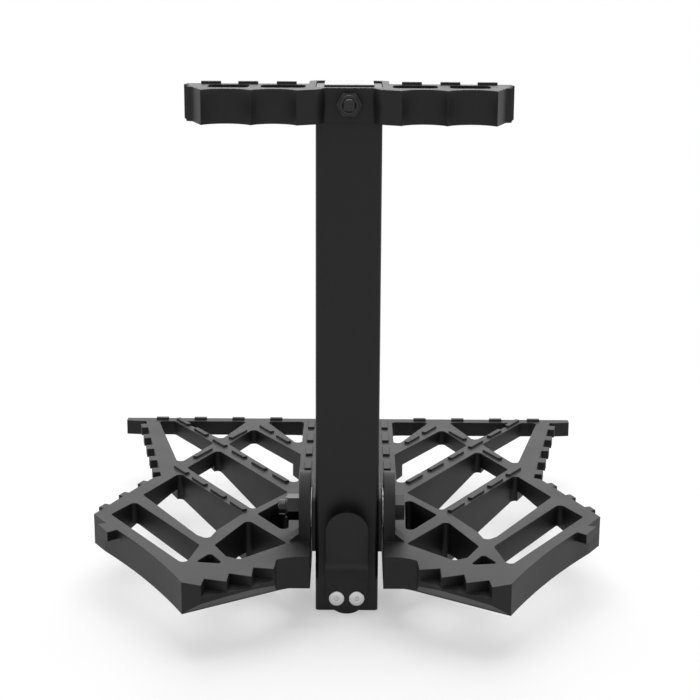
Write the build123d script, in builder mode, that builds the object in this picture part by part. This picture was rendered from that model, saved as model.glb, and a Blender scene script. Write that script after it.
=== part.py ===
from build123d import *
import os
from math import atan2, cos, degrees, radians, sin

# Folding hitch step. A square post carries a cast top step and two cast wings
# that fold up together about one cross bolt. A square shank joins the post to
# a 2 inch receiver. The model's origin is the centre of the receiver pin hole,
# +Y points into the receiver, and +Z points up. Millimetres throughout.

# ---- driving dimensions ---------------------------------------------------
TUBE_SIDE = 50.8            # 2 inch square tube, post and shank alike
TUBE_WALL = 6.35
TUBE_CORNER = 3.0
POST_HEIGHT = 423.0
SHANK_LENGTH = 230.0        # from the post's rear face to the free end
SHANK_HEIGHT = 200.0        # shank centre above the post's foot
PIN_SETBACK = 63.5          # receiver pin hole, from the shank's free end
PIN_HOLE = 8.35             # hole radius for a 5/8 inch pin
WELD_LEG = 6.0

PIVOT_HEIGHT = 80.0
PIVOT_BOLT = 6.0            # M12
PIVOT_FLATS = 19.0
PIVOT_HEAD = 8.0
PIVOT_NUT = 11.8
PIVOT_TAIL = 6.0            # thread past the nut
SLEEVE_RADIUS = 10.0
RUNNING = 0.05              # radial clearance of a turning or sliding fit
BODY_GAP = 0.3              # clearance between bodies that move apart
BOLT_FIT = 0.1

SIDE_PLATE = 3.0
SIDE_PLATE_LOW = 48.0
SIDE_PLATE_HIGH = 94.0
SIDE_PLATE_DEPTH = 44.0
WASHER = 0.8
WASHER_RADIUS = 16.0

STOP_RADIUS = 5.0
STOP_ORBIT = 22.0           # stop pin, from the pivot axis
STOP_ANGLE = -45.0
FOLD = 90.0                 # swing of the wings, degrees
STOP_DEPTH = 8.0            # how far the stop pin reaches into a lug

DECK_HEIGHT = 61.0          # top of the wings' deck above the post's foot
RIM_DEPTH = 14.0
FRONT_DEPTH = 26.0
RIB_DEPTH = 36.0
WING_REAR = 310.0
WING_TIP = 221.5
LUG_THICK = 9.3
LUG_RADIUS = 30.0
WINDOW_CORNER = 4.0
CLEAT_HEIGHT = 2.0
CLEAT_WIDTH = 5.2
CLEAT_LENGTH = 25.0
CLEAT_DRAFT = 6.0
RAIL_CLEAT_WIDTH = 7.0
TOOTH_DEPTH = 8.0           # height of the side teeth
SAW_DEPTH = 10.0            # height of the saw teeth along the front
SAW_REACH = 20.0            # how far the saw teeth stand out, at most

STEP_THICK = 26.0           # top step casting
STEP_TOP = 424.3
STEP_WALL = 5.6             # wall of the collar in front of and behind the post
STEP_REAR = 2.0
SEAT_GAP = 0.1              # collar to post, each side
TOP_BOLT = 5.0              # M10
TOP_BOLT_HEIGHT = 412.3
TOP_FLATS = 17.0
TOP_HEAD = 6.4
TOP_NUT = 9.0
TOP_TAIL = 3.0
TOP_WASHER = 1.6
SPACER_RADIUS = 7.5
CAP_RISE = 1.3
CAP_DEPTH = 1.6

LEAF_WIDTH = 34.5
LEAF_THICK = 3.0
LEAF_LOW = -1.9
LEAF_HIGH = 90.0
LEAF_STANDOFF = 13.0
LEAF_JOGGLE_LOW = 31.0
LEAF_JOGGLE_HIGH = 46.0
LEAF_BEND = 6.0
RIVET_SPREAD = 8.15
RIVET_HEIGHT = 11.5
RIVET_FLANGE = 6.3
RIVET_DOME = 1.4
RIVET_SHANK = 2.4
RIVET_TAIL = 3.6
MANDREL_HOLE = 1.4
PLUNGER_RADIUS = 4.0
PLUNGER_HEAD = 7.0
PLUNGER_HEAD_THICK = 2.5
DETENT_DEPTH = 3.0

# ---- derived sizes ----------------------------------------------------------
half = TUBE_SIDE / 2
bore = TUBE_SIDE - 2 * TUBE_WALL
post_y = PIN_SETBACK - SHANK_LENGTH - half
plate_face = half + SIDE_PLATE
lug_face = plate_face + BODY_GAP + WASHER
lug_back = lug_face + LUG_THICK
hex_factor = 1 / cos(radians(30))
leaf_back = half + LEAF_STANDOFF


def level(z):
    """Level plane through the post axis, z above the post's foot."""
    return Plane(origin=(0, post_y, z - SHANK_HEIGHT))


def across(x):
    """Upright plane at x that faces +X: local axes run to the rear and up."""
    return Plane(origin=(x, post_y, -SHANK_HEIGHT), x_dir=(0, 1, 0), z_dir=(1, 0, 0))


def facing(y):
    """Upright plane at y from the post axis that faces the front."""
    return Plane(origin=(0, post_y + y, -SHANK_HEIGHT), x_dir=(1, 0, 0), z_dir=(0, -1, 0))


def save(part, name):
    part.label = name
    export_step(part, f"parts/{name}.step")
    print(name, round(part.volume))


os.makedirs("parts", exist_ok=True)

stop_y = STOP_ORBIT * cos(radians(STOP_ANGLE))
stop_z = PIVOT_HEIGHT + STOP_ORBIT * sin(radians(STOP_ANGLE))

# ---- post -------------------------------------------------------------------
with BuildPart() as post_tube:
    with BuildSketch(level(0)):
        RectangleRounded(TUBE_SIDE, TUBE_SIDE, TUBE_CORNER)
        RectangleRounded(bore, bore, TUBE_CORNER / 2, mode=Mode.SUBTRACT)
    extrude(amount=POST_HEIGHT)
    with BuildSketch(across(0)):
        with Locations((0, PIVOT_HEIGHT)):
            Circle(SLEEVE_RADIUS + RUNNING)
        with Locations((stop_y, stop_z)):
            Circle(STOP_RADIUS + RUNNING)
    extrude(amount=TUBE_SIDE, both=True, mode=Mode.SUBTRACT)
    with BuildSketch(facing(0)):
        with Locations((0, TOP_BOLT_HEIGHT)):
            Circle(TOP_BOLT + BOLT_FIT)
    extrude(amount=TUBE_SIDE, both=True, mode=Mode.SUBTRACT)
    with BuildSketch(facing(0)):
        with Locations((0, PIVOT_HEIGHT)):
            Circle(PLUNGER_RADIUS + RUNNING)
        with Locations((-RIVET_SPREAD, RIVET_HEIGHT), (RIVET_SPREAD, RIVET_HEIGHT)):
            Circle(RIVET_SHANK + RUNNING)
    extrude(amount=TUBE_SIDE, mode=Mode.SUBTRACT)
save(post_tube.part, "post_tube")

with BuildPart() as post_cap:
    with BuildSketch(level(POST_HEIGHT - CAP_DEPTH)):
        RectangleRounded(bore - 2 * SEAT_GAP, bore - 2 * SEAT_GAP, TUBE_CORNER / 2)
    extrude(amount=CAP_DEPTH + STEP_TOP - POST_HEIGHT + CAP_RISE)
    fillet(post_cap.faces().sort_by(Axis.Z)[-1].edges(), CAP_RISE * 0.7)
save(post_cap.part, "post_cap")

# ---- receiver shank ---------------------------------------------------------
rear_face = Plane(origin=(0, post_y + half, 0), x_dir=(-1, 0, 0), z_dir=(0, 1, 0))

with BuildPart() as receiver_shank:
    with BuildSketch(rear_face):
        RectangleRounded(TUBE_SIDE, TUBE_SIDE, TUBE_CORNER)
        RectangleRounded(bore, bore, TUBE_CORNER / 2, mode=Mode.SUBTRACT)
    extrude(amount=SHANK_LENGTH)
    with BuildSketch(Plane.YZ):
        Circle(PIN_HOLE)
    extrude(amount=TUBE_SIDE, both=True, mode=Mode.SUBTRACT)
save(receiver_shank.part, "receiver_shank")

with BuildPart() as shank_plug:
    plug_depth = 8.0
    with BuildSketch(rear_face.offset(SHANK_LENGTH - plug_depth)):
        RectangleRounded(bore - 2 * SEAT_GAP, bore - 2 * SEAT_GAP, TUBE_CORNER / 2)
    extrude(amount=plug_depth)
save(shank_plug.part, "shank_plug")

with BuildPart() as shank_weld:
    weld_length = TUBE_SIDE - 2 * TUBE_CORNER
    for side in (1, -1):
        with BuildSketch(Plane(origin=(-weld_length / 2, 0, 0), x_dir=(0, 1, 0), z_dir=(1, 0, 0))):
            root = (post_y + half, side * half)
            with BuildLine():
                Line(root, (root[0] + WELD_LEG, root[1]))
                ThreePointArc(
                    (root[0] + WELD_LEG, root[1]),
                    (root[0] + WELD_LEG * 0.56, root[1] + side * WELD_LEG * 0.56),
                    (root[0], root[1] + side * WELD_LEG),
                )
                Line((root[0], root[1] + side * WELD_LEG), root)
            make_face()
        extrude(amount=weld_length)
save(shank_weld.part, "shank_weld")

# ---- pivot ------------------------------------------------------------------
with BuildPart() as pivot_sleeve:
    with BuildSketch(across(0)):
        with Locations((0, PIVOT_HEIGHT)):
            Circle(SLEEVE_RADIUS)
            Circle(PIVOT_BOLT + BOLT_FIT, mode=Mode.SUBTRACT)
    extrude(amount=lug_face, both=True)
    # Two detents: one meets the plunger with the wings down, one folded up.
    with BuildSketch(facing(-SLEEVE_RADIUS + DETENT_DEPTH)):
        with Locations((0, PIVOT_HEIGHT)):
            Circle(PLUNGER_RADIUS + BODY_GAP)
    extrude(amount=SLEEVE_RADIUS, mode=Mode.SUBTRACT)
    with BuildSketch(level(PIVOT_HEIGHT + SLEEVE_RADIUS - DETENT_DEPTH)):
        Circle(PLUNGER_RADIUS + BODY_GAP)
    extrude(amount=SLEEVE_RADIUS, mode=Mode.SUBTRACT)
save(pivot_sleeve.part, "pivot_sleeve")

with BuildPart() as pivot_bolt:
    with BuildSketch(across(-lug_back - PIVOT_NUT - PIVOT_TAIL)):
        with Locations((0, PIVOT_HEIGHT)):
            Circle(PIVOT_BOLT)
    extrude(amount=2 * lug_back + PIVOT_NUT + PIVOT_TAIL)
    chamfer(pivot_bolt.faces().sort_by(Axis.X)[0].edges(), 1.0)
    with BuildSketch(across(lug_back)):
        with Locations((0, PIVOT_HEIGHT)):
            RegularPolygon(PIVOT_FLATS / 2 * hex_factor, 6, rotation=30)
    extrude(amount=PIVOT_HEAD)
save(pivot_bolt.part, "pivot_bolt")

with BuildPart() as pivot_nut:
    with BuildSketch(across(-lug_back)):
        with Locations((0, PIVOT_HEIGHT)):
            RegularPolygon(PIVOT_FLATS / 2 * hex_factor, 6, rotation=30)
            Circle(PIVOT_BOLT + BOLT_FIT, mode=Mode.SUBTRACT)
    extrude(amount=-PIVOT_NUT * 0.72)
    with BuildSketch(across(-lug_back)):
        with Locations((0, PIVOT_HEIGHT)):
            Circle(PIVOT_FLATS / 2 - 0.6)
            Circle(PIVOT_BOLT + BOLT_FIT, mode=Mode.SUBTRACT)
    extrude(amount=-PIVOT_NUT)
save(pivot_nut.part, "pivot_nut")

for side, name in ((1, "right"), (-1, "left")):
    with BuildPart() as side_plate:
        with BuildSketch(across(side * half)):
            with Locations((0, (SIDE_PLATE_LOW + SIDE_PLATE_HIGH) / 2)):
                RectangleRounded(SIDE_PLATE_DEPTH, SIDE_PLATE_HIGH - SIDE_PLATE_LOW, 6)
            with Locations((0, PIVOT_HEIGHT)):
                Circle(SLEEVE_RADIUS + RUNNING, mode=Mode.SUBTRACT)
            with Locations((stop_y, stop_z)):
                Circle(STOP_RADIUS + RUNNING, mode=Mode.SUBTRACT)
        extrude(amount=side * SIDE_PLATE)
    save(side_plate.part, f"{name}_side_plate")

    with BuildPart() as thrust_washer:
        with BuildSketch(across(side * lug_face)):
            with Locations((0, PIVOT_HEIGHT)):
                Circle(WASHER_RADIUS)
                Circle(SLEEVE_RADIUS + RUNNING, mode=Mode.SUBTRACT)
        extrude(amount=-side * WASHER)
    save(thrust_washer.part, f"{name}_thrust_washer")

with BuildPart() as stop_pin:
    with BuildSketch(across(0)):
        with Locations((stop_y, stop_z)):
            Circle(STOP_RADIUS)
    extrude(amount=lug_face + STOP_DEPTH - BODY_GAP, both=True)
save(stop_pin.part, "stop_pin")

# ---- wings ------------------------------------------------------------------
# The right wing is drawn and the left one is its mirror. Plan points are
# (distance from the centre line, distance behind the post axis).


def along(start, end, share, out=0.0):
    """Point at a share of the way from start to end, pushed out to the left."""
    dx, dy = end[0] - start[0], end[1] - start[1]
    length = (dx * dx + dy * dy) ** 0.5
    return (start[0] + dx * share - dy / length * out, start[1] + dy * share + dx / length * out)


def teeth(start, end, count, share, out):
    """Outlines of a row of block teeth that stand out from the edge start to end."""
    blocks = []
    for i in range(count):
        middle = (i + 0.5) / count
        low, high = middle - share / count / 2, middle + share / count / 2
        blocks.append([
            along(start, end, low, -2), along(start, end, low, out),
            along(start, end, high, out), along(start, end, high, -2),
        ])
    return blocks


# Corners of the deck, from the front inner corner up the rail and round.
rim_points = [(lug_face, -61.7), (lug_face, WING_REAR), (WING_TIP, WING_REAR), (WING_TIP, 301), (207, 299)]
rim_points += [(202, 299), (168, 131), (174, 127), (213.4, 31.7), (202, 13)]
front_corner = (125, -115)
front_bend = (54, -68)

# Short teeth hang like a lip on the outer edges, above a plain wall.
side_teeth = teeth((202, 301), (168, 131), 5, 0.36, 6.5)
side_teeth += teeth((174, 127), (212, 36), 3, 0.3, 4.5)
side_teeth += [[(207, 8), (194, 12), (187, -3), (196, -11)]]
saw_lip = [front_corner, (109.6, -121.4), (108.4, -107.6), (90.8, -113.2), (90.2, -96.6)]
saw_lip += [(72.4, -103.1), (72.3, -84.7), (56.1, -87.5), (54.8, -66), (100, -94)]
skirt = [front_corner, (109.6, -121.4), (90.8, -113.2), (72.4, -103.1), (56.1, -87.5), (54.8, -66), (100, -94)]

windows = {
    "front_slot": [(199, 31), (183, 63), (118, -38), (126, -80)],
    "front_eye": [(118, -74), (108, -55), (96, -77)],
    "second": [(178, 80), (152, 139), (88, 35), (107, -5), (112, -25), (122, -16)],
    "third": [(147, 154), (123, 207), (52, 89), (80, 44)],
    "fourth": [(114, 225), (93, 275), (44, 195), (44, 106)],
    "rear_corner": [(189, 299), (173, 299), (129, 228), (156, 165)],
    "rear_middle": [(167, 299), (101, 299), (122, 240)],
    "rear_inner": [(81, 299), (44, 299), (44, 217)],
    "nut_side": [(76, 34), (50, 78), (48, -12)],
    "heel_side": [(106, -38), (83, 20), (48, -33), (84, -68), (95, -62)],
}


def window(points, radius):
    """One opening through the deck, its corners rounded."""
    with BuildSketch(mode=Mode.PRIVATE) as shape:
        with BuildLine():
            Polyline(*points, close=True)
        make_face()
        fillet(shape.vertices(), radius)
    return shape.sketch


shapes = [window(points, 2.5 if name == "front_eye" else WINDOW_CORNER) for name, points in windows.items()]

with BuildSketch(level(DECK_HEIGHT)) as deck:
    with BuildLine():
        Polyline(*rim_points)
        ThreePointArc(rim_points[-1], (162.2, -45.7), front_corner)
        Line(front_corner, front_bend)
        ThreePointArc(front_bend, (43, -63), rim_points[0])
    make_face()
    for shape in shapes:
        add(shape, mode=Mode.SUBTRACT)


def web(start, end, depths, reach):
    """Slab on edge from start to end whose underside runs from depth to depth."""
    dx, dy = end[0] - start[0], end[1] - start[1]
    length = (dx * dx + dy * dy) ** 0.5
    foot = Plane(
        origin=(start[0], post_y + start[1], DECK_HEIGHT - SHANK_HEIGHT),
        x_dir=(dx, dy, 0),
        z_dir=(dy, -dx, 0),
    )
    with BuildSketch(foot) as profile:
        with BuildLine():
            Polyline((0, 0), (length, 0), (length, -depths[1]), (0, -depths[0]), close=True)
        make_face()
    extrude(profile.sketch, amount=reach, both=True)


# Where the ribs are deeper than the rim: the ribs deepen towards the pivot.
with BuildPart() as deep_zones:
    web((128, 231), (72, 138), (RIM_DEPTH, RIB_DEPTH), 14)
    web((72, 138), (38, 81), (RIB_DEPTH, RIB_DEPTH), 14)
    web((156, 160), (94, 59), (20, RIB_DEPTH), 12)
    web((94, 59), (48, -28), (RIB_DEPTH, RIB_DEPTH), 12)
    web((40, 300), (40, 120), (RIM_DEPTH, RIB_DEPTH), 12)
    web((40, 120), (40, -40), (RIB_DEPTH, RIB_DEPTH), 12)
    web((56, 84), (97, 8), (RIB_DEPTH, FRONT_DEPTH), 14)
    web((97, 8), (112, -40), (FRONT_DEPTH, FRONT_DEPTH), 12)
    web((190, 80), (112, -40), (18, 21), 12)
    web((170, 135), (213, 36), (RIM_DEPTH, FRONT_DEPTH), 16)
    with BuildSketch(level(DECK_HEIGHT)):
        with BuildLine():
            Polyline(
                (230, 36), (197, 44), (160, -18), (126, -66), (112, -58), (84, -50),
                (28, -40), (28, -130), (130, -130), (230, -12), close=True,
            )
        make_face()
    extrude(amount=-FRONT_DEPTH)

with BuildPart() as deep_ribs:
    add(deck.sketch)
    extrude(amount=-RIB_DEPTH)
    add(deep_zones.part, mode=Mode.INTERSECT)

# Under the saw teeth the front wall leans back to the foot of the casting.
run = Vector(front_bend[0] - front_corner[0], front_bend[1] - front_corner[1]).normalized()
lean = Plane(
    origin=(front_corner[0], post_y + front_corner[1], DECK_HEIGHT - SHANK_HEIGHT),
    x_dir=(-run.Y, run.X, 0),
    z_dir=(run.X, run.Y, 0),
)
with BuildPart() as saw_skirt:
    with BuildSketch(level(DECK_HEIGHT)):
        with BuildLine():
            Polyline(*skirt, close=True)
        make_face()
    extrude(amount=-FRONT_DEPTH)
    with BuildSketch(lean):
        with BuildLine():
            Polyline(
                (-4, 1 - SAW_DEPTH), (SAW_REACH, 1 - SAW_DEPTH), (SAW_REACH, -SAW_DEPTH),
                (0.5, 1 - FRONT_DEPTH), (-4, 1 - FRONT_DEPTH), close=True,
            )
        make_face()
    extrude(amount=120, both=True, mode=Mode.INTERSECT)

rib_one = ((164, 294.5), (60, 124.5))
rib_two = ((151, 146), (93, 51))
rib_zero = ((80, 272), (62, 240))
cross_rib = ((107, 254), (136, 195))


def cleats(start, end, count, length=CLEAT_LENGTH, width=CLEAT_WIDTH):
    """A row of raised grip bars, the first and last centred on the ends."""
    turn = degrees(atan2(end[1] - start[1], end[0] - start[0]))
    share = [i / (count - 1) for i in range(count)]
    with BuildSketch(level(DECK_HEIGHT - CLEAT_HEIGHT)) as bars:
        with Locations(*[along(start, end, s) for s in share]):
            RectangleRounded(length, width, 1.2, rotation=turn)
    extrude(bars.sketch, amount=2 * CLEAT_HEIGHT, taper=CLEAT_DRAFT)


swing = degrees(BODY_GAP / STOP_ORBIT)
groove_from = STOP_ANGLE + swing
groove_to = STOP_ANGLE - FOLD - swing
groove_width = STOP_RADIUS + BODY_GAP


def orbit(angle, radius=STOP_ORBIT):
    return (radius * cos(radians(angle)), PIVOT_HEIGHT + radius * sin(radians(angle)))


with BuildPart() as right_step:
    add(deck.sketch)
    extrude(amount=-RIM_DEPTH)
    add(deep_ribs.part)
    for block in side_teeth:
        with BuildSketch(level(DECK_HEIGHT)):
            with BuildLine():
                Polyline(*block, close=True)
            make_face()
        extrude(amount=-TOOTH_DEPTH)
    with BuildSketch(level(DECK_HEIGHT)):
        with BuildLine():
            Polyline(*saw_lip, close=True)
        make_face()
    extrude(amount=-SAW_DEPTH)
    add(saw_skirt.part)
    # The lug stands on the inner rail and runs down to the rib depth.
    with BuildSketch(across(lug_face)):
        with Locations((0, PIVOT_HEIGHT)):
            Circle(LUG_RADIUS)
        with Locations((0, (PIVOT_HEIGHT + DECK_HEIGHT - RIB_DEPTH) / 2)):
            Rectangle(2 * LUG_RADIUS, PIVOT_HEIGHT - DECK_HEIGHT + RIB_DEPTH)
        with BuildLine():
            Polyline(
                (LUG_RADIUS * 0.6, PIVOT_HEIGHT + LUG_RADIUS * 0.8),
                (LUG_RADIUS + 17, DECK_HEIGHT - 1), (0, DECK_HEIGHT - 1), close=True,
            )
        make_face()
    extrude(amount=LUG_THICK)
    # Buttress between the lug's outer face and the deck, ahead of the nut.
    with BuildSketch(facing(-LUG_RADIUS + 18)):
        with BuildLine():
            Polyline(
                (lug_back - 1, DECK_HEIGHT - 2), (lug_back + 8.5, DECK_HEIGHT - 2),
                (lug_back + 8, DECK_HEIGHT), (lug_back, DECK_HEIGHT + 6.5),
                (lug_back - 1, DECK_HEIGHT + 6.5), close=True,
            )
        make_face()
    extrude(amount=16)
    with BuildSketch(across(lug_face)):
        with Locations((0, PIVOT_HEIGHT)):
            Circle(PIVOT_BOLT + BOLT_FIT)
    extrude(amount=LUG_THICK * 2, mode=Mode.SUBTRACT)
    # Blind arc groove that the stop pin travels in.
    with BuildSketch(across(lug_face)):
        with BuildLine() as groove:
            ThreePointArc(orbit(groove_from), orbit((groove_from + groove_to) / 2), orbit(groove_to))
        trace(groove.line, line_width=2 * groove_width)
        with Locations(orbit(groove_from), orbit(groove_to)):
            Circle(groove_width)
    extrude(amount=STOP_DEPTH, mode=Mode.SUBTRACT)
    cleats((lug_face + 6.7, 289), (lug_face + 6.7, 121), 5, length=28, width=RAIL_CLEAT_WIDTH)
    cleats(*rib_one, 6)
    cleats(*rib_two, 4)
    cleats(*rib_zero, 2)
    cleats(*cross_rib, 2, length=30)
    cleats((186, WING_REAR - 4), (72, WING_REAR - 4), 4, length=13)

with BuildPart() as left_step:
    mirror(right_step.part, about=Plane.YZ)

save(right_step.part, "right_step")
save(left_step.part, "left_step")

# ---- top step ---------------------------------------------------------------
cusps = [(39, -51), (73, -51), (110, -51)]
valleys = [(56, -41), (91.5, -41)]
step_end = [(118.5, -27), (123, -25.5), (120, -18), (124.5, -16.5), (121.5, -9), (126.3, -7.5), (124.5, STEP_REAR)]
collar = half + STEP_WALL

with BuildPart() as top_step:
    with BuildSketch(level(STEP_TOP)) as half_plan:
        with BuildLine():
            Polyline((0, collar), (0, -collar), (16, -collar))
            Spline((16, -collar), (20.5, -36.5), (26, -44.5), tangents=[(1, 0), (0.8, -0.45)])
            Line((26, -44.5), cusps[0])
            ThreePointArc(cusps[0], valleys[0], cusps[1])
            ThreePointArc(cusps[1], valleys[1], cusps[2])
            Polyline(
                cusps[2], *step_end, (collar + 2, STEP_REAR), (collar, STEP_REAR + 2),
                (collar, collar - 5), (collar - 5, collar), (0, collar),
            )
        make_face()
        mirror(about=Plane.YZ)
        RectangleRounded(
            TUBE_SIDE + 2 * SEAT_GAP, TUBE_SIDE + 2 * SEAT_GAP, TUBE_CORNER, mode=Mode.SUBTRACT
        )
        for side in (1, -1):
            with Locations((side * 91.5, -19.5)):
                RectangleRounded(31, 24, 5, mode=Mode.SUBTRACT)
            with Locations((side * 50, -19.5)):
                RectangleRounded(34, 24, 5, mode=Mode.SUBTRACT)
    extrude(amount=-STEP_THICK)
    with BuildSketch(level(STEP_TOP - 1)):
        for side in (1, -1):
            with Locations(*[(side * x, STEP_REAR - 3.5) for x in (48, 77.5, 106)]):
                RectangleRounded(15.5, 5, 1.2)
    extrude(amount=1 + CLEAT_HEIGHT, taper=CLEAT_DRAFT / 2)
    with BuildSketch(facing(0)):
        with Locations((0, TOP_BOLT_HEIGHT)):
            Circle(TOP_BOLT + BOLT_FIT)
    extrude(amount=2 * collar, both=True, mode=Mode.SUBTRACT)
save(top_step.part, "top_step")

with BuildPart() as top_bolt:
    with BuildSketch(facing(collar + TOP_WASHER)):
        with Locations((0, TOP_BOLT_HEIGHT)):
            Circle(TOP_BOLT)
    extrude(amount=2 * collar + TOP_WASHER + TOP_NUT + TOP_TAIL)
    chamfer(top_bolt.faces().sort_by(Axis.Y)[0].edges(), 0.8)
    with BuildSketch(facing(collar + TOP_WASHER)):
        with Locations((0, TOP_BOLT_HEIGHT)):
            RegularPolygon(TOP_FLATS / 2 * hex_factor, 6)
    extrude(amount=-TOP_HEAD)
save(top_bolt.part, "top_bolt")

with BuildPart() as top_washer:
    with BuildSketch(facing(collar)):
        with Locations((0, TOP_BOLT_HEIGHT)):
            Circle(TOP_FLATS / 2 + 1.5)
            Circle(TOP_BOLT + BOLT_FIT, mode=Mode.SUBTRACT)
    extrude(amount=-TOP_WASHER)
save(top_washer.part, "top_washer")

with BuildPart() as top_nut:
    with BuildSketch(facing(-collar)):
        with Locations((0, TOP_BOLT_HEIGHT)):
            RegularPolygon(TOP_FLATS / 2 * hex_factor, 6, rotation=30)
            Circle(TOP_BOLT + BOLT_FIT, mode=Mode.SUBTRACT)
    extrude(amount=TOP_NUT * 0.75)
    with BuildSketch(facing(-collar)):
        with Locations((0, TOP_BOLT_HEIGHT)):
            Circle(TOP_FLATS / 2 - 0.7)
            Circle(TOP_BOLT + BOLT_FIT, mode=Mode.SUBTRACT)
    extrude(amount=TOP_NUT)
save(top_nut.part, "top_nut")

with BuildPart() as top_spacer:
    with BuildSketch(facing(-bore / 2)):
        with Locations((0, TOP_BOLT_HEIGHT)):
            Circle(SPACER_RADIUS)
            Circle(TOP_BOLT + BOLT_FIT, mode=Mode.SUBTRACT)
    extrude(amount=-bore)
save(top_spacer.part, "top_spacer")

# ---- latch ------------------------------------------------------------------
leaf_near = -(half + LEAF_THICK / 2)
leaf_far = -(leaf_back + LEAF_THICK / 2)
rivet_places = ((-RIVET_SPREAD, RIVET_HEIGHT), (RIVET_SPREAD, RIVET_HEIGHT))

with BuildPart() as latch_leaf:
    with BuildSketch(across(-LEAF_WIDTH / 2)):
        with BuildLine() as leaf_path:
            FilletPolyline(
                (leaf_near, LEAF_LOW - LEAF_THICK),
                (leaf_near, LEAF_JOGGLE_LOW),
                (leaf_far, LEAF_JOGGLE_HIGH),
                (leaf_far, LEAF_HIGH + LEAF_THICK),
                radius=LEAF_BEND,
            )
        trace(leaf_path.line, line_width=LEAF_THICK)
    extrude(amount=LEAF_WIDTH)
    with BuildSketch(facing(0)):
        with Locations((0, (LEAF_LOW + LEAF_HIGH) / 2)):
            SlotOverall(LEAF_HIGH - LEAF_LOW, LEAF_WIDTH, rotation=90)
    extrude(amount=2 * leaf_back, mode=Mode.INTERSECT)
    with BuildSketch(facing(0)):
        with Locations(*rivet_places):
            Circle(RIVET_SHANK + RUNNING)
    extrude(amount=2 * leaf_back, mode=Mode.SUBTRACT)
save(latch_leaf.part, "latch_leaf")

with BuildPart() as latch_rivets:
    with BuildSketch(facing(-half + TUBE_WALL + 3)):
        with Locations(*rivet_places):
            Circle(RIVET_SHANK)
    extrude(amount=TUBE_WALL + 3 + LEAF_THICK)
    with BuildSketch(facing(-half + TUBE_WALL + 3)):
        with Locations(*rivet_places):
            Circle(RIVET_TAIL)
    extrude(amount=3)
    with BuildSketch(facing(-half - LEAF_THICK)):
        with Locations(*rivet_places):
            Circle(RIVET_FLANGE)
    extrude(amount=RIVET_DOME, taper=35)
    with BuildSketch(facing(-half - LEAF_THICK)):
        with Locations(*rivet_places):
            Circle(MANDREL_HOLE)
    extrude(amount=2 * RIVET_DOME, mode=Mode.SUBTRACT)
save(latch_rivets.part, "latch_rivets")

with BuildPart() as latch_plunger:
    with BuildSketch(facing(-SLEEVE_RADIUS - BODY_GAP)):
        with Locations((0, PIVOT_HEIGHT)):
            Circle(PLUNGER_RADIUS)
    extrude(amount=leaf_back - SLEEVE_RADIUS - BODY_GAP)
    with BuildSketch(facing(-leaf_back + PLUNGER_HEAD_THICK)):
        with Locations((0, PIVOT_HEIGHT)):
            Circle(PLUNGER_HEAD)
    extrude(amount=PLUNGER_HEAD_THICK)
save(latch_plunger.part, "latch_plunger")
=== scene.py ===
# %% [markdown]
# # A folding hitch step
# The real object is a square steel post with a small cast step on top and two
# large cast wings near its foot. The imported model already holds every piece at
# its size, so this lesson gives the pieces their finish, and makes again the
# few whose small shapes the eye goes to: the spring leaf, the blind rivets and
# the two lock nuts.

# %% Load the frame
import bpy
import bmesh
from math import cos, pi, radians, sin
from mathutils import Matrix, Vector


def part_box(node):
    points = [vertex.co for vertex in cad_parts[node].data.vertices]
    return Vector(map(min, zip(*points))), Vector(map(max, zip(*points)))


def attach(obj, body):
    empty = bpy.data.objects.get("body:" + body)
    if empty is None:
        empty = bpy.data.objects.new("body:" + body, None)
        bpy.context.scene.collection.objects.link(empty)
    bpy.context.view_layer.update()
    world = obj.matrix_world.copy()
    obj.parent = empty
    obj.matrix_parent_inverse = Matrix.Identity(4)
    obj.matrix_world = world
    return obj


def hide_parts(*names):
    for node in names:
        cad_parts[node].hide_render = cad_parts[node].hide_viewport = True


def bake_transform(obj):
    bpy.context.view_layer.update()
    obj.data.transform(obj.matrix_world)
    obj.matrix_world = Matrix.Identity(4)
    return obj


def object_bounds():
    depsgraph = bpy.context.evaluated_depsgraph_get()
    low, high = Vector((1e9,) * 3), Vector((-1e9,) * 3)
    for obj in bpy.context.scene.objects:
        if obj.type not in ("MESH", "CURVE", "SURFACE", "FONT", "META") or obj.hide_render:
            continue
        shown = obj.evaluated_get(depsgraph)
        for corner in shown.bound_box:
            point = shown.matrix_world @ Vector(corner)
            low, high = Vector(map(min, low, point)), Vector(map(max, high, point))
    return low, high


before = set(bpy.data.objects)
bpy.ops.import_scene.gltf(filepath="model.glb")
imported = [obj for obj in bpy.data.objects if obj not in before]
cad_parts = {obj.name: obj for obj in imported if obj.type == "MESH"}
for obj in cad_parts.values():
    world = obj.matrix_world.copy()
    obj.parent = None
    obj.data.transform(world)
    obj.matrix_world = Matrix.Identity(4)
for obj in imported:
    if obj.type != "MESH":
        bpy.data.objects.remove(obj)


def plain_box(box):
    """A box as plain lists of numbers."""
    return [[float(v) for v in corner] for corner in box]


cad_box = plain_box(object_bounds())
print("CAD box", cad_box)

MM = 0.001
post_low, post_high = (Vector(c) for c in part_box("post_tube"))
foot = Vector(((post_low.x + post_high.x) / 2, (post_low.y + post_high.y) / 2, post_low.z))
leaf_low, leaf_high = (Vector(c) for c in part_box("latch_leaf"))
print("post foot at", tuple(foot))

# %% [markdown]
# ## The camera
# A tall thing is best seen from well back with a long lens, so that its post
# stays straight. The camera looks a little down, enough to show the decks of
# the wings and only the edge of the top step.

# %% Camera
CAMERA_BACK, CAMERA_UP, CAMERA_SIDE = 1.263, 0.5416, 0.00165
CAMERA_PITCH, CAMERA_ROLL = radians(14.57), radians(0.318)
LENS, SENSOR = 83.83, 36

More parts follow.
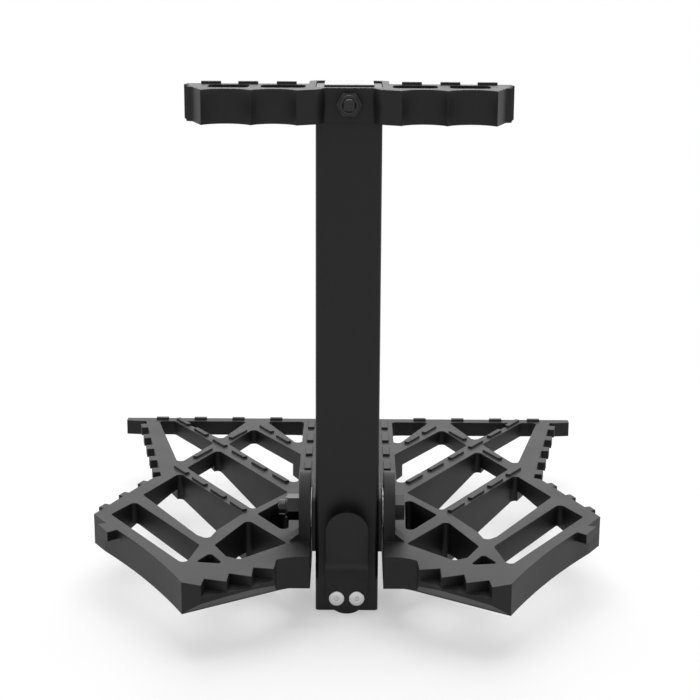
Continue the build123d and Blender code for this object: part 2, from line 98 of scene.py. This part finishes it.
camera = bpy.data.objects.new("camera", bpy.data.cameras.new("camera"))
bpy.context.scene.collection.objects.link(camera)
camera.data.sensor_width = SENSOR
camera.data.lens = LENS
camera.location = foot + Vector((CAMERA_SIDE, -CAMERA_BACK, CAMERA_UP))
turn = Matrix.Rotation(pi / 2 - CAMERA_PITCH, 4, "X") @ Matrix.Rotation(CAMERA_ROLL, 4, "Z")
camera.rotation_euler = turn.to_euler()
bpy.context.scene.camera = camera
print("camera at", tuple(round(v, 3) for v in camera.location))

# %% [markdown]
# ## The studio
# The step stands on a pale floor under one broad overhead lamp, one behind it
# that skims the decks, and two weak side lamps. The world is white to the
# camera and to reflections, and grey as a lamp, so the background stays clean
# without washing out the black coat.

# %% Floor
scene = bpy.context.scene
scene.view_settings.view_transform = "Standard"
FLOOR_SIZE = 12.0
FLOOR_DROP = 0.0002
FLOOR_PAINT = (0.93, 0.93, 0.93, 1)
FADE_START, FADE_END = 0.1, 0.75
FADE_LEAST = 0.45
FADE_BEHIND = 0.1
floor_height = min(cad_box[0][2], leaf_low.z) - FLOOR_DROP


def new_material(name):
    """A fresh node material and its Principled shader."""
    material = bpy.data.materials.new(name)
    material.use_nodes = True
    return material, material.node_tree.nodes["Principled BSDF"]


def white_rays(tree):
    """One for a camera, glossy or transmission ray, and zero for any other."""
    path = tree.nodes.new("ShaderNodeLightPath")
    total = path.outputs["Is Camera Ray"]
    for name in ("Is Glossy Ray", "Is Transmission Ray"):
        either = tree.nodes.new("ShaderNodeMath")
        either.operation = "MAXIMUM"
        tree.links.new(total, either.inputs[0])
        tree.links.new(path.outputs[name], either.inputs[1])
        total = either.outputs["Value"]
    return total


floor_mesh = bmesh.new()
bmesh.ops.create_grid(floor_mesh, x_segments=1, y_segments=1, size=FLOOR_SIZE / 2)
bmesh.ops.translate(floor_mesh, verts=floor_mesh.verts, vec=(0, 0, floor_height))
floor_data = bpy.data.meshes.new("floor")
floor_mesh.to_mesh(floor_data)
floor_mesh.free()
floor = bpy.data.objects.new("floor", floor_data)
scene.collection.objects.link(floor)
floor_coat, floor_shader = new_material("studio_floor")
floor_shader.inputs["Base Color"].default_value = FLOOR_PAINT
floor_shader.inputs["Roughness"].default_value = 0.6
floor_shader.inputs["Specular IOR Level"].default_value = 0.15
floor_data.materials.append(floor_coat)

# Near the step the floor is about half paint, which takes a shadow. Further
# out it fades to plain white for the camera and for reflections, so no horizon
# shows.
nodes, links = floor_coat.node_tree.nodes, floor_coat.node_tree.links
spot = nodes.new("ShaderNodeVectorMath")
spot.operation = "DISTANCE"
spot.inputs[1].default_value = (foot.x, foot.y + FADE_BEHIND, floor_height)
links.new(nodes.new("ShaderNodeTexCoord").outputs["Object"], spot.inputs[0])
fade = nodes.new("ShaderNodeMapRange")
fade.inputs["From Min"].default_value = FADE_START
fade.inputs["From Max"].default_value = FADE_END
fade.inputs["To Min"].default_value = FADE_LEAST
links.new(spot.outputs["Value"], fade.inputs["Value"])
seen = nodes.new("ShaderNodeMath")
seen.operation = "MULTIPLY"
links.new(fade.outputs["Result"], seen.inputs[0])
links.new(white_rays(floor_coat.node_tree), seen.inputs[1])
glow = nodes.new("ShaderNodeEmission")
mix = nodes.new("ShaderNodeMixShader")
links.new(seen.outputs["Value"], mix.inputs["Fac"])
links.new(floor_shader.outputs[0], mix.inputs[1])
links.new(glow.outputs[0], mix.inputs[2])
links.new(mix.outputs[0], nodes["Material Output"].inputs["Surface"])
print("floor at", round(floor_height, 4))

# %% World and lamps
WORLD_LIGHT = 0.3
LAMPS_AIM = Vector((0, 0.05, 0.2))

world = bpy.data.worlds.new("studio")
scene.world = world
world.use_nodes = True
sky = world.node_tree.nodes["Background"]
sky.inputs["Color"].default_value = (1, 1, 1, 1)
level = world.node_tree.nodes.new("ShaderNodeMapRange")
level.inputs["To Min"].default_value = WORLD_LIGHT
level.inputs["To Max"].default_value = 1.0
world.node_tree.links.new(white_rays(world.node_tree), level.inputs["Value"])
world.node_tree.links.new(level.outputs["Result"], sky.inputs["Strength"])


def lamp(name, place, size, watts):
    """A square area lamp above the floor that looks at the middle of the post."""
    data = bpy.data.lights.new(name, "AREA")
    data.size = size
    data.energy = watts
    thing = bpy.data.objects.new(name, data)
    scene.collection.objects.link(thing)
    thing.location = foot + Vector(place)
    aim = foot + LAMPS_AIM - thing.location
    thing.rotation_euler = aim.to_track_quat("-Z", "Y").to_euler()
    print(name, watts, "W")


lamp("overhead", (0, 0.25, 1.9), 1.7, 30)
lamp("back", (0, 2.0, 1.25), 1.8, 14)
lamp("left_fill", (-1.9, 0.2, 0.9), 1.1, 7)
lamp("right_fill", (1.9, 0.2, 0.9), 1.1, 7)

# %% [markdown]
# ## Powder coat
# The post, shank, side plates, leaf and castings are powder coated black. The
# coat is not a flat colour: it has a fine orange-peel bump, slow changes in shade and gloss, and
# soft edges that catch the light. The Bevel node rounds the edges in shading
# by as much as a real coat does, so the castings lose their knife edges while
# their true size stays. The sheen is set low, because the studio is white to
# reflections and would turn the coat grey.


# %% Coat material
COAT_SHINE = 0.28
CLOUD_SCALE = 22
SHADE_LOW, SHADE_HIGH = 0.8, 1.25
GLOSS_DOWN, GLOSS_UP = 0.05, 0.07
PEEL_STRENGTH = 0.5


def coat(name, colour, gloss, grain, grain_depth, edge):
    """Black powder coat; grain is bumps per metre and edge is the edge radius."""
    material, shader = new_material(name)
    nodes, links = material.node_tree.nodes, material.node_tree.links
    place = nodes.new("ShaderNodeTexCoord").outputs["Object"]

    cloud = nodes.new("ShaderNodeTexNoise")
    cloud.inputs["Scale"].default_value = CLOUD_SCALE
    cloud.inputs["Detail"].default_value = 3
    links.new(place, cloud.inputs["Vector"])
    speck = nodes.new("ShaderNodeTexNoise")
    speck.inputs["Scale"].default_value = grain
    speck.inputs["Detail"].default_value = 2
    links.new(place, speck.inputs["Vector"])

    shade = nodes.new("ShaderNodeMix")
    shade.data_type = "RGBA"
    shade.inputs["A"].default_value = (*[c * SHADE_LOW for c in colour], 1)
    shade.inputs["B"].default_value = (*[c * SHADE_HIGH for c in colour], 1)
    links.new(cloud.outputs["Fac"], shade.inputs["Factor"])
    links.new(shade.outputs["Result"], shader.inputs["Base Color"])

    dull = nodes.new("ShaderNodeMapRange")
    dull.inputs["To Min"].default_value = gloss - GLOSS_DOWN
    dull.inputs["To Max"].default_value = gloss + GLOSS_UP
    links.new(cloud.outputs["Fac"], dull.inputs["Value"])
    links.new(dull.outputs["Result"], shader.inputs["Roughness"])
    shader.inputs["Specular IOR Level"].default_value = COAT_SHINE

    round_edge = nodes.new("ShaderNodeBevel")
    round_edge.samples = 6
    round_edge.inputs["Radius"].default_value = edge
    peel = nodes.new("ShaderNodeBump")
    peel.inputs["Strength"].default_value = PEEL_STRENGTH
    peel.inputs["Distance"].default_value = grain_depth
    links.new(speck.outputs["Fac"], peel.inputs["Height"])
    links.new(round_edge.outputs["Normal"], peel.inputs["Normal"])
    links.new(peel.outputs["Normal"], shader.inputs["Normal"])
    return material


cast_coat = coat("cast_coat", (0.006, 0.006, 0.006), 0.5, 900, 0.00016, 0.0009)
tube_coat = coat("tube_coat", (0.006, 0.006, 0.006), 0.4, 1500, 0.00005, 0.0012)
leaf_coat = coat("leaf_coat", (0.0055, 0.0055, 0.0055), 0.4, 1500, 0.00005, 0.0005)
print("coats ready")

# %% [markdown]
# ## Metals and plastic
# The fasteners are black oxide steel: dark, but metal, so their flats flash.
# The rivets are bare aluminium. The hidden sleeve, spacer, thrust washers, stop
# pin and plunger are zinc plated. The caps are smooth plastic. One recipe does
# for all of them: a fine noise moves the shade and the gloss a little.


# %% Metal and plastic materials
METAL_DARK, METAL_PALE = 0.85, 1.15
METAL_SMOOTH, METAL_ROUGH = 0.8, 1.2


def metal(name, colour, gloss, grain, metallic=1.0):
    """A metal or plastic whose gloss varies with a fine noise."""
    material, shader = new_material(name)
    nodes, links = material.node_tree.nodes, material.node_tree.links
    place = nodes.new("ShaderNodeTexCoord").outputs["Object"]
    cloud = nodes.new("ShaderNodeTexNoise")
    cloud.inputs["Scale"].default_value = grain
    cloud.inputs["Detail"].default_value = 4
    links.new(place, cloud.inputs["Vector"])
    shade = nodes.new("ShaderNodeMix")
    shade.data_type = "RGBA"
    shade.inputs["A"].default_value = (*[c * METAL_DARK for c in colour], 1)
    shade.inputs["B"].default_value = (*[min(c * METAL_PALE, 1) for c in colour], 1)
    links.new(cloud.outputs["Fac"], shade.inputs["Factor"])
    links.new(shade.outputs["Result"], shader.inputs["Base Color"])
    dull = nodes.new("ShaderNodeMapRange")
    dull.inputs["To Min"].default_value = gloss * METAL_SMOOTH
    dull.inputs["To Max"].default_value = gloss * METAL_ROUGH
    links.new(cloud.outputs["Fac"], dull.inputs["Value"])
    links.new(dull.outputs["Result"], shader.inputs["Roughness"])
    shader.inputs["Metallic"].default_value = metallic
    return material


black_oxide = metal("black_oxide", (0.035, 0.035, 0.035), 0.3, 400)
zinc = metal("zinc_plate", (0.55, 0.55, 0.54), 0.3, 300)
aluminium = metal("rivet_aluminium", (0.6, 0.6, 0.6), 0.35, 600)
cap_plastic = metal("cap_plastic", (0.02, 0.02, 0.02), 0.25, 60, metallic=0.0)
print("metals ready")

# %% Give the CAD pieces their finish
finishes = {
    cast_coat: ["top_step", "left_step", "right_step"],
    tube_coat: ["post_tube", "receiver_shank", "shank_weld", "left_side_plate", "right_side_plate"],
    leaf_coat: ["latch_leaf"],
    black_oxide: ["top_bolt", "top_nut", "top_washer", "pivot_bolt", "pivot_nut"],
    zinc: ["top_spacer", "pivot_sleeve", "left_thrust_washer", "right_thrust_washer", "stop_pin",
           "latch_plunger"],
    aluminium: ["latch_rivets"],
    cap_plastic: ["post_cap", "shank_plug"],
}
for finish, names in finishes.items():
    for name in names:
        mesh = bpy.data.objects[name].data
        mesh.materials.clear()
        mesh.materials.append(finish)
print(sum(len(names) for names in finishes.values()), "CAD pieces finished")

# %% [markdown]
# ## Small pieces made again
# A bmesh becomes an object in one helper, so each piece below is only its shape.
# Each piece but the spring leaf rides on the body that its CAD node belongs to.


# %% From bmesh to a piece
def piece(name, shape, finish, body, *nodes, smooth=30):
    """Make an object from a bmesh, give it its finish and hang it on its body."""
    bmesh.ops.remove_doubles(shape, verts=shape.verts, dist=1e-7)
    bmesh.ops.recalc_face_normals(shape, faces=shape.faces)
    data = bpy.data.meshes.new(name)
    shape.to_mesh(data)
    shape.free()
    data.materials.append(finish)
    data.shade_smooth()
    data.set_sharp_from_angle(angle=radians(smooth))
    thing = bpy.data.objects.new(name, data)
    scene.collection.objects.link(thing)
    if body:
        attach(thing, body)
    if nodes:
        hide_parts(*nodes)
    print(name, len(data.polygons), "faces")
    return thing


def lathe(profile, steps=48):
    """Spin a profile of (radius, height) about Z into a closed solid."""
    shape = bmesh.new()
    line = [shape.verts.new((r, 0, h)) for r, h in profile]
    edges = [shape.edges.new(pair) for pair in zip(line, line[1:])]
    bmesh.ops.spin(
        shape, geom=line + edges, cent=(0, 0, 0), axis=(0, 0, 1), dvec=(0, 0, 0),
        angle=2 * pi, steps=steps, use_merge=True, use_duplicate=False,
    )
    return shape


def put(shape, direction, place):
    """Turn a shape's Z to a direction and move it to its place."""
    turn = Vector(direction).to_track_quat("Z", "Y").to_matrix().to_4x4()
    bmesh.ops.transform(shape, matrix=Matrix.Translation(place) @ turn, verts=shape.verts)
    return shape


# %% [markdown]
# ## The spring leaf
# The leaf is a strip of spring steel, riveted at its foot, that steps away
# from the post and carries the latch plunger behind its free end. Pulling the
# end bends the strip. It is made from a flat outline with round ends, cut
# across often enough to bend, then pushed out along the joggle and given its
# thickness.

# %% Leaf
LEAF_THICK = 3 * MM
LEAF_EDGE = 0.5 * MM
LEAF_SLICES = 46
JOGGLE_LOW, JOGGLE_HIGH = 0.031, 0.046
JOGGLE_EASE = 0.003
leaf_radius = (leaf_high.x - leaf_low.x) / 2
leaf_front = leaf_low.y
post_front = post_low.y


def ease(value):
    """Smooth step from 0 to 1."""
    value = min(max(value, 0), 1)
    return value * value * (3 - 2 * value)


leaf_shape = bmesh.new()
bmesh.ops.create_circle(leaf_shape, cap_ends=True, segments=64, radius=leaf_radius)
upper_shift = (leaf_high.z - leaf_low.z) - 2 * leaf_radius
for vert in leaf_shape.verts:
    vert.co = Vector((vert.co.x, 0, vert.co.y + leaf_low.z + leaf_radius))
    if vert.co.z > leaf_low.z + leaf_radius + 1e-6:
        vert.co.z += upper_shift
for i in range(1, LEAF_SLICES):
    height = leaf_low.z + (leaf_high.z - leaf_low.z) * i / LEAF_SLICES
    geometry = leaf_shape.verts[:] + leaf_shape.edges[:] + leaf_shape.faces[:]
    bmesh.ops.bisect_plane(leaf_shape, geom=geometry, plane_co=(0, 0, height), plane_no=(0, 0, 1))
for vert in leaf_shape.verts:
    climb = vert.co.z - foot.z - JOGGLE_LOW + JOGGLE_EASE
    step = ease(climb / (JOGGLE_HIGH - JOGGLE_LOW + 2 * JOGGLE_EASE))
    near = post_front - LEAF_THICK
    vert.co.y = near + (leaf_front - near) * step
bmesh.ops.recalc_face_normals(leaf_shape, faces=leaf_shape.faces)
leaf = piece("spring_leaf", leaf_shape, leaf_coat, None, "latch_leaf")
thick = leaf.modifiers.new("thickness", "SOLIDIFY")
thick.thickness = LEAF_THICK
front_normal = sum((p.normal.y for p in leaf.data.polygons), 0.0)
thick.offset = -1.0 if front_normal < 0 else 1.0
soft = leaf.modifiers.new("edge", "BEVEL")
soft.width = LEAF_EDGE
soft.segments = 2
soft.limit_method = "ANGLE"
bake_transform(leaf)

# %% [markdown]
# ## Blind rivets
# A large-flange blind rivet is a shallow dome with a crisp rim and a dimple,
# where the mandrel snapped off and left a small broken stub. A lathed profile
# gives all of that at once: first the stub, then the dimple, the dome, the rim
# and the flat underside. The profile is in millimetres.

# %% Rivets
RIVET_SPREAD, RIVET_HEIGHT = 8.15 * MM, 11.5 * MM
rivet_profile = [
    (0, 0.15), (0.75, 0.2), (0.8, 0.62), (1.25, 0.68), (1.35, 0.35), (1.7, 0.3), (1.85, 1.25),
    (2.3, 1.38), (3.6, 1.3), (5.0, 1.02), (5.9, 0.66), (6.22, 0.42), (6.3, 0.2), (6.25, 0.0), (0, 0),
]
for side, name in ((-1, "left_rivet"), (1, "right_rivet")):
    rivet = lathe([(r * MM, h * MM) for r, h in rivet_profile])
    place = foot + Vector((side * RIVET_SPREAD, post_front - LEAF_THICK - foot.y, RIVET_HEIGHT))
    nodes = ["latch_rivets"] if side < 0 else []
    piece(name, put(rivet, (0, -1, 0), place), aluminium, "root", *nodes, smooth=35)

# %% [markdown]
# ## Lock nuts and bolt ends
# A nylon-insert lock nut has six flats, corners chamfered at about 30 degrees,
# and a round collar rolled in over a nylon ring. Bisecting a hexagonal prism
# with one tilted plane for each corner leaves the chamfers. The collar is
# lathed, and its inner part fills the ring's place. The bolt's threaded end is
# lathed too, with a saw for the crests, but its radius is a little less than
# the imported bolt's, so it lies inside the bolt's plain end and does not show.


# %% Nut and thread
CORNER_CHAMFER = radians(30)
THREAD_PITCH = 1.5 * MM
THREAD_GAP = 0.1 * MM
COLLAR_INSET = 0.9 * MM
COLLAR_START = 0.05


def hex_nut(flats, height):
    """Hexagonal prism along Z from 0 to height with chamfered corners."""
    shape = bmesh.new()
    corner = flats / 2 / cos(pi / 6)
    bmesh.ops.create_cone(
        shape, cap_ends=True, segments=6, radius1=corner, radius2=corner, depth=height,
    )
    bmesh.ops.translate(shape, verts=shape.verts, vec=(0, 0, height / 2))
    corners = [Vector((v.co.x, v.co.y, 0)).normalized() for v in shape.verts if v.co.z > height / 2]
    for way in corners:
        normal = (way * sin(CORNER_CHAMFER) + Vector((0, 0, 1)) * cos(CORNER_CHAMFER)).normalized()
        point = way * (flats / 2) + Vector((0, 0, height))
        geometry = shape.verts[:] + shape.edges[:] + shape.faces[:]
        bmesh.ops.bisect_plane(shape, geom=geometry, plane_co=point, plane_no=normal, clear_outer=True)
        rim = [e for e in shape.edges if e.is_boundary]
        bmesh.ops.holes_fill(shape, edges=rim, sides=0)
    return shape


def collar_profile(radius, hole, base, top):
    """The round collar of a lock nut, rolled in at its top."""
    roll = (top - base) * 0.35
    return [
        (hole, base), (radius, base), (radius, top - roll), (radius - roll * 0.3, top - roll * 0.3),
        (radius - roll, top), (radius - 2.2 * roll, top), (radius - 2.4 * roll, top - roll),
        (hole, top - roll), (hole, base),
    ]


def thread_profile(radius, length, pitch):
    """A bolt end: a saw of thread crests, then a chamfered tip."""
    points = [(0, 0), (radius * 0.9, 0)]
    turns = int((length - pitch) / pitch)
    for i in range(turns):
        points.append((radius, (i + 0.5) * pitch))
        points.append((radius - pitch * 0.45, (i + 1) * pitch))
    points += [(radius, length - pitch), (radius - pitch, length), (0, length)]
    return points


def lock_nut(name, body, node, direction, seat, flats, height, bolt_radius, tail, hex_share):
    """A nut with its collar and bolt end on one seat; hex_share is the flats' share of its height."""
    hexed = hex_nut(flats, height * hex_share)
    twist = Matrix.Rotation(pi / 6, 3, "Z")
    bmesh.ops.rotate(hexed, verts=hexed.verts, cent=(0, 0, 0), matrix=twist)
    piece(f"{name}_nut_body", put(hexed, direction, seat), black_oxide, body, node, smooth=20)
    base = height * (hex_share - COLLAR_START)
    collar = lathe(collar_profile(flats / 2 - COLLAR_INSET, bolt_radius * 1.02, base, height))
    piece(f"{name}_nut_collar", put(collar, direction, seat), black_oxide, body, smooth=35)
    end = lathe(thread_profile(bolt_radius * 0.99, height + tail - THREAD_GAP, THREAD_PITCH))
    piece(f"{name}_bolt_end", put(end, direction, seat), black_oxide, body, smooth=50)


def middle(node):
    """Middle of a CAD node's box."""
    low, high = (Vector(c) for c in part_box(node))
    return (low + high) / 2


top_low, top_high = (Vector(c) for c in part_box("top_nut"))
top_seat = Vector((middle("top_nut").x, top_high.y, middle("top_nut").z))
lock_nut(
    "top", "root", "top_nut", (0, -1, 0), top_seat, 17 * MM, top_high.y - top_low.y,
    5 * MM, 3 * MM, 0.75,
)

side_low, side_high = (Vector(c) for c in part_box("pivot_nut"))
side_seat = Vector((side_high.x, middle("pivot_nut").y, middle("pivot_nut").z))
lock_nut(
    "pivot", "steps", "pivot_nut", (-1, 0, 0), side_seat, 19 * MM, side_high.x - side_low.x,
    6 * MM, 6 * MM, 0.88,
)
